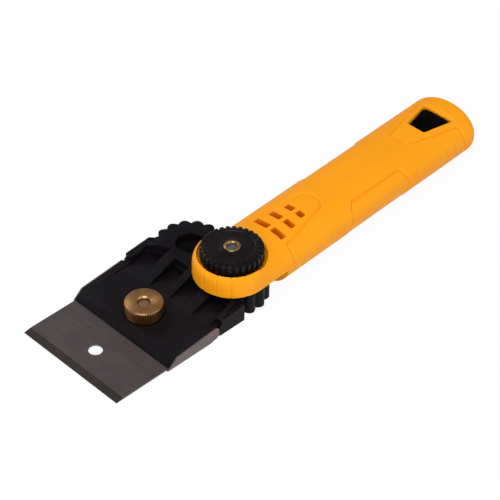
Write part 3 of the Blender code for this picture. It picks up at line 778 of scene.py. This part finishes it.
def core():
    """The black core, with room over it for the slots' floors."""
    body = welded_copy("grip_core", "handle_core")
    room = [(LAP_STEP, -SLOT_ROOM), (SLOT_ROOM_END, -SLOT_ROOM),
            (SLOT_ROOM_END, SLOT_ROOM), (LAP_STEP, SLOT_ROOM)]
    bottom = GRIP_TOP - SLOT_DEPTH - SLOT_FLOOR
    combine(body, prism([(room, bottom), (room, GRIP_TOP + CUT_MARGIN)]), "DIFFERENCE")
    smooth(body)
    return body


def paint_slot_shade(body):
    """Gives the faces inside the slots the second material, a deeper red orange that paints the shade inside
    them.
    """
    centres = np.empty(3 * len(body.data.polygons))
    body.data.polygons.foreach_get("center", centres)
    x, y, z = centres.reshape(-1, 3).T / MM
    cos, sin = math.cos(GRIP_TURN), math.sin(GRIP_TURN)
    u = (x - PIVOT.x) * cos + (y - PIVOT.y) * sin
    v = (y - PIVOT.y) * cos - (x - PIVOT.x) * sin
    slot_shade_faces = np.zeros(len(u), bool)
    for row in range(SLOT_ROWS):
        for side in (1, -1):
            slot_shade_faces |= inside(u, v, slot_outline(row, side, SLOT_FACE_MARGIN))
    slot_shade_faces &= z < GRIP_TOP - SLOT_CHAMFER - SLOT_FACE_MARGIN
    slot_shade_faces &= z > GRIP_TOP - SLOT_DEPTH - 2 * SLOT_FACE_MARGIN
    body.data.polygons.foreach_set("material_index", slot_shade_faces.astype(np.int32))


def grip(solid):
    """The orange grip: its fine outside, hollow round the core, with lap, boss, recess, slots and hole."""
    body = grip_blank()
    reach = GRIP_HALF_WIDTH + CUT_MARGIN
    lap = [(-reach, -reach), (LAP_STEP, -reach), (LAP_STEP, reach), (-reach, reach)]
    combine(body, prism([(lap, -CUT_MARGIN), (lap, LAP_HEIGHT)]), "DIFFERENCE")
    boss = [(BOSS_RADIUS - BOSS_CHAMFER, BOSS_BOTTOM), (BOSS_RADIUS, BOSS_BOTTOM + BOSS_CHAMFER),
            (BOSS_RADIUS, LAP_HEIGHT + BOSS_OVERLAP)]
    combine(body, turned("boss", boss, PIVOT), "UNION")
    washer_room = WASHER_RADIUS + SEAT_GAP
    washer_floor = WASHER_BOTTOM - SEAT_GAP
    flared = RECESS_RADIUS + RECESS_FLARE
    hub = [(BOLT_BORE, BOSS_BOTTOM - CUT_MARGIN), (BOLT_BORE, washer_floor), (washer_room, washer_floor),
           (washer_room, KNOB_SEAT), (RECESS_RADIUS, KNOB_SEAT), (flared, KNOB_SEAT + RECESS_FLARE_RISE),
           (flared, GRIP_TOP + CUT_MARGIN)]
    combine(body, turned("hub_cutter", hub, PIVOT, count=128), "DIFFERENCE")
    hole = hole_outline()
    rim = hole_outline(HOLE_FLARE)
    combine(body, prism([(hole, -CUT_MARGIN), (hole, GRIP_TOP - HOLE_FLARE_DEPTH),
                         (rim, GRIP_TOP + CUT_SKIM), (rim, GRIP_TOP + CUT_MARGIN)]), "DIFFERENCE")
    for row in range(SLOT_ROWS):
        for side in (1, -1):
            combine(body, slot_cutter(row, side), "DIFFERENCE")
    combine(body, solid, "DIFFERENCE", keep=True)
    paint_slot_shade(body)
    smooth(body)
    return body


# Knob and nut


def tooth(place):
    """Depth share of the knob's flat-topped teeth at a place from 0 to 1 along one tooth."""
    return min(1.0, max(0.0, (knurl(place) - TOOTH_LAND) / TOOTH_SLOPE))


def knurl(place):
    """Depth share of the nut's pointed teeth at a place from 0 to 1 along one tooth."""
    return abs(place - 0.5) * 2


def toothed_ring(radius, height, side_depth, top_depth, shape, teeth, points, centre):
    """A level ring whose grooves, of a tooth's shape, go in by one depth and down by another."""
    ring = []
    for i in range(teeth * points):
        share = shape((i % points) / points)
        turn = 2 * math.pi * i / (teeth * points)
        r = radius - side_depth * share
        x, y = centre.x + r * math.cos(turn), centre.y + r * math.sin(turn)
        ring.append((x, y, height - top_depth * share))
    return ring


def knob():
    """The toothed knob: blocks like a tyre's run down its side and in over the edge of its top."""
    rim = KNOB_RADIUS - KNOB_TRIM
    tread_end = rim - TREAD_RUN
    levels = [
        (INSERT_RADIUS + COLLAR_ROOM_WIDTH, KNOB_BOTTOM, 0, 0),
        (rim - KNOB_BEVEL - 0.6, KNOB_BOTTOM, 0, 0),
        (rim - KNOB_BEVEL, KNOB_BOTTOM + 0.2, TOOTH_DEPTH / 2, 0),
        (rim - 0.3, KNOB_BOTTOM + KNOB_BEVEL, TOOTH_DEPTH, 0),
        (rim, KNOB_BOTTOM + KNOB_BEVEL + 0.8, TOOTH_DEPTH, 0),
        (rim, KNOB_TOP - KNOB_BEVEL - 0.4, TOOTH_DEPTH, 0),
        (rim - 0.35, KNOB_TOP - KNOB_BEVEL * 0.45, TOOTH_DEPTH, TREAD_DEPTH * 0.3),
        (rim - KNOB_BEVEL, KNOB_TOP - 0.1, TOOTH_DEPTH * 0.6, TREAD_DEPTH * 0.8),
        (rim - KNOB_BEVEL - 0.5, KNOB_TOP, 0, TREAD_DEPTH),
        (tread_end + 0.5, KNOB_TOP, 0, TREAD_DEPTH),
        (tread_end, KNOB_TOP, 0, 0),
        (tread_end - 0.4, KNOB_TOP, 0, 0),
        (tread_end - 0.8, KNOB_TOP - 0.25, 0, 0),
        (INSERT_RADIUS + 1.6, KNOB_TOP - 0.35, 0, 0),
        (INSERT_RADIUS + 1.0, KNOB_TOP - 0.05, 0, 0),
        (INSERT_RADIUS + 0.4, KNOB_TOP, 0, 0),
        (INSERT_RADIUS + 0.1, KNOB_TOP - 0.2, 0, 0),
        (INSERT_RADIUS + 0.1, KNOB_BOTTOM + COLLAR_ROOM_HEIGHT, 0, 0),
        (INSERT_RADIUS + COLLAR_ROOM_WIDTH, KNOB_BOTTOM + COLLAR_ROOM_HEIGHT, 0, 0),
    ]
    rings = [toothed_ring(*level, tooth, KNOB_TEETH, TOOTH_POINTS, PIVOT) for level in levels]
    body = ring_stack("knob", rings, hollow=True)
    smooth(body, KNOB_SHARP_ANGLE)
    return body


def insert():
    """The knob's brass insert: a collar below, and a bevelled ring round its thread on top."""
    profile = [
        (INSERT_BORE, KNOB_BOTTOM),
        (INSERT_RADIUS + COLLAR_WIDTH, KNOB_BOTTOM),
        (INSERT_RADIUS + COLLAR_WIDTH, KNOB_BOTTOM + COLLAR_HEIGHT),
        (INSERT_RADIUS, KNOB_BOTTOM + COLLAR_HEIGHT),
        (INSERT_RADIUS, INSERT_TOP - 0.45),
        (INSERT_RADIUS - 0.12, INSERT_TOP - 0.15),
        (INSERT_RADIUS - 0.4, INSERT_TOP),
        (INSERT_BORE + 0.5, INSERT_TOP),
        (INSERT_BORE, INSERT_TOP - 0.5),
    ]
    body = turned("knob_bush", profile, PIVOT, hollow=True, count=96)
    smooth(body)
    return body


def nut():
    """The round brass nut with a finely knurled side, chamfered rims and a countersunk thread."""
    rim = NUT_RADIUS - NUT_CHAMFER
    levels = [
        (NUT_BORE, NUT_BOTTOM, 0),
        (rim, NUT_BOTTOM, 0),
        (NUT_RADIUS - 0.1, NUT_BOTTOM + NUT_CHAMFER, KNURL_DEPTH * 0.6),
        (NUT_RADIUS, NUT_BOTTOM + NUT_CHAMFER + 0.2, KNURL_DEPTH),
        (NUT_RADIUS, NUT_TOP - NUT_CHAMFER - 0.5, KNURL_DEPTH),
        (NUT_RADIUS - 0.1, NUT_TOP - NUT_CHAMFER - 0.3, KNURL_DEPTH * 0.6),
        (NUT_RADIUS - 0.3, NUT_TOP - NUT_CHAMFER, 0),
        (rim - 0.1, NUT_TOP - 0.08, 0),
        (rim - 0.4, NUT_TOP, 0),
        (NUT_BORE + 1.0, NUT_TOP, 0),
        (NUT_BORE + 0.8, NUT_TOP - 0.05, 0),
        (NUT_BORE, NUT_TOP - 0.7, 0),
    ]
    rings = [toothed_ring(radius, height, depth, 0, knurl, KNURL_TEETH, KNURL_POINTS, CLAMP_AXIS)
             for radius, height, depth in levels]
    body = ring_stack("nut", rings, hollow=True)
    smooth(body, NUT_SHARP_ANGLE)
    return body


def blade():
    """The blade, whose ground edges take a second, darker finish."""
    body = solid_copy("scraper_blade", "blade", BLADE_BEVEL, 1, BLADE_SHARP_ANGLE)
    for face in body.data.polygons:
        tilted = GROUND_LEAST_TILT < 1 - abs(face.normal.z) < GROUND_MOST_TILT
        at_front = abs(face.center.x / MM - BLADE_FRONT) < GROUND_REACH
        face.material_index = 1 if tilted or at_front else 0
    return body


# Stage


def floor():
    """A wide pale floor: white to the camera and in reflections, with the object's soft shadow on it."""
    reach = FLOOR_REACH
    corners = [(-reach, -reach, 0), (reach, -reach, 0), (reach, reach, 0), (-reach, reach, 0)]
    body = mesh_object("floor", corners, [(0, 1, 2, 3)])
    paint = bpy.data.materials.new("pale_floor")
    paint.use_nodes = True
    nodes = paint.node_tree.nodes
    links = paint.node_tree.links
    shader = nodes["Principled BSDF"]
    shader.inputs["Base Color"].default_value = (FLOOR_GREY, FLOOR_GREY, FLOOR_GREY, 1)
    shader.inputs["Roughness"].default_value = FLOOR_ROUGHNESS
    glow = nodes.new("ShaderNodeEmission")
    glow.inputs["Strength"].default_value = 1.0
    path = nodes.new("ShaderNodeLightPath")
    mirrored = nodes.new("ShaderNodeMath")
    mirrored.operation = "MULTIPLY"
    mirrored.inputs[1].default_value = FLOOR_MIRRORED_SHARE
    links.new(path.outputs["Is Glossy Ray"], mirrored.inputs[0])
    seen = nodes.new("ShaderNodeMath")
    seen.operation = "MAXIMUM"
    links.new(path.outputs["Is Camera Ray"], seen.inputs[0])
    links.new(mirrored.outputs[0], seen.inputs[1])
    share = nodes.new("ShaderNodeMath")
    share.operation = "MULTIPLY"
    share.inputs[1].default_value = FLOOR_WHITE_SHARE
    links.new(seen.outputs[0], share.inputs[0])
    mix = nodes.new("ShaderNodeMixShader")
    links.new(share.outputs[0], mix.inputs["Fac"])
    links.new(shader.outputs[0], mix.inputs[1])
    links.new(glow.outputs[0], mix.inputs[2])
    links.new(mix.outputs[0], nodes["Material Output"].inputs["Surface"])
    body.data.materials.append(paint)


def world():
    """Even pale light from all round."""
    sky = bpy.data.worlds.new("studio")
    sky.use_nodes = True
    back = sky.node_tree.nodes["Background"]
    back.inputs["Color"].default_value = (1, 1, 1, 1)
    back.inputs["Strength"].default_value = SKY_STRENGTH
    bpy.context.scene.world = sky


def lamp(name, place, target, size, power):
    """A soft square lamp that faces a target."""
    light = bpy.data.lights.new(name, "AREA")
    light.size = size
    light.energy = power
    body = bpy.data.objects.new(name, light)
    body.location = place
    body.rotation_euler = (Vector(target) - Vector(place)).to_track_quat("-Z", "Y").to_euler()
    bpy.context.scene.collection.objects.link(body)


def camera():
    """The photograph's view, fitted to the tool's corners in the picture."""
    level = Vector((math.cos(CAMERA_AZIMUTH), math.sin(CAMERA_AZIMUTH), 0))
    outward = math.cos(CAMERA_ELEVATION)
    back = Vector((level.y * outward, -level.x * outward, math.sin(CAMERA_ELEVATION)))
    right = level * math.cos(CAMERA_ROLL) + back.cross(level) * math.sin(CAMERA_ROLL)
    view = Matrix((right, back.cross(right), back)).transposed().to_4x4()
    view.translation = (Vector(CAMERA_TARGET) + back * CAMERA_DISTANCE) * MM
    data = bpy.data.cameras.new("photo_camera")
    data.sensor_width = CAMERA_SENSOR
    data.lens = CAMERA_LENS
    data.clip_start = 0.05
    data.shift_y = CAMERA_SHIFT
    body = bpy.data.objects.new("photo_camera", data)
    body.matrix_world = view
    bpy.context.scene.collection.objects.link(body)
    bpy.context.scene.camera = body


# The pieces, dressed

orange = orange_plastic("orange_moulding", (0.93, 0.335, 0.005), (0.97, 0.36, 0.007))
# A deeper, redder orange for the slots' walls and floors: painted shade inside the slots.
orange_slot_shade = orange_plastic("orange_painted_slot_shade", (0.66, 0.135, 0.003), (0.70, 0.15, 0.003))
head_black = black_plastic("head_moulding", (0.0042, 0.0032, 0.0046), (0.0062, 0.0048, 0.0066), 0.40, 0.09)
knob_black = black_plastic("knob_moulding", (0.0055, 0.0040, 0.0045), (0.0080, 0.0062, 0.0068), 0.24, 0.14)
core_black = black_plastic("core_moulding", (0.004, 0.0035, 0.004), (0.006, 0.0055, 0.006), 0.6)
# The blade's steel is darkened as painted shade, standing for the dark surroundings that it reflects.
blade_flat = ground_steel("blade_flat", (0.128, 0.105, 0.110), (0.155, 0.126, 0.124), 0.38)
blade_edge = ground_steel("blade_edge", (0.040, 0.033, 0.031), (0.055, 0.045, 0.042), 0.42)
plate_steel = bright_steel("plate_steel", (0.150, 0.118, 0.118), (0.195, 0.156, 0.156), 0.32)
stud_steel = bright_steel("stud_steel", (0.30, 0.20, 0.12), (0.40, 0.27, 0.17), 0.32)
bolt_steel = bright_steel("bolt_steel", (0.14, 0.14, 0.16), (0.22, 0.22, 0.25), 0.35)
washer_steel = bright_steel("washer_steel", (0.42, 0.41, 0.40), (0.54, 0.53, 0.52), 0.35)
nut_brass = turned_brass("nut_brass", CLAMP_AXIS, (0.40, 0.205, 0.078), (0.52, 0.28, 0.115))
insert_brass = turned_brass("insert_brass", PIVOT, (0.40, 0.24, 0.08), (0.50, 0.31, 0.12))

grip_core = core()
dress(grip(grip_core), [orange, orange_slot_shade], "handle", "handle_skin")
dress(grip_core, [core_black], "handle", "handle_core")
head = solid_copy("head_moulding", "head_body", HEAD_BEVEL, 3)
dress(head, [head_black], "head", "head_body")
dress(knob(), [knob_black], "knob", "knob_body")
dress(insert(), [insert_brass], "knob", "knob_insert")
dress(nut(), [nut_brass], "clamp_nut", "clamp_nut")
dress(blade(), [blade_flat, blade_edge], "clamp", "blade")
tray = solid_copy("clamp_tray", "clamp_plate", PLATE_BEVEL)
dress(tray, [plate_steel], "clamp", "clamp_plate")
stud = solid_copy("stud", "clamp_stud", STUD_BEVEL)
dress(stud, [stud_steel], "clamp", "clamp_stud")
bolt = solid_copy("bolt", "pivot_bolt", BOLT_BEVEL)
dress(bolt, [bolt_steel], "head", "pivot_bolt")
washer = solid_copy("washer", "knob_washer", WASHER_BEVEL)
dress(washer, [washer_steel], "knob_washer", "knob_washer")

floor()
world()
lamp("key", (-0.40, -0.25, 1.25), (0.10, 0, 0), 0.9, 10.6)
lamp("front", (-1.0, -0.75, 0.4), (0.08, 0, 0), 0.8, 5)
lamp("side", (0.5, -0.9, 0.8), (0.08, 0, 0), 0.8, 3)
lamp("left", (0.0, 1.1, 0.8), (0.10, 0, 0), 0.8, 3.8)
camera()
bpy.context.scene.view_settings.view_transform = "Standard"
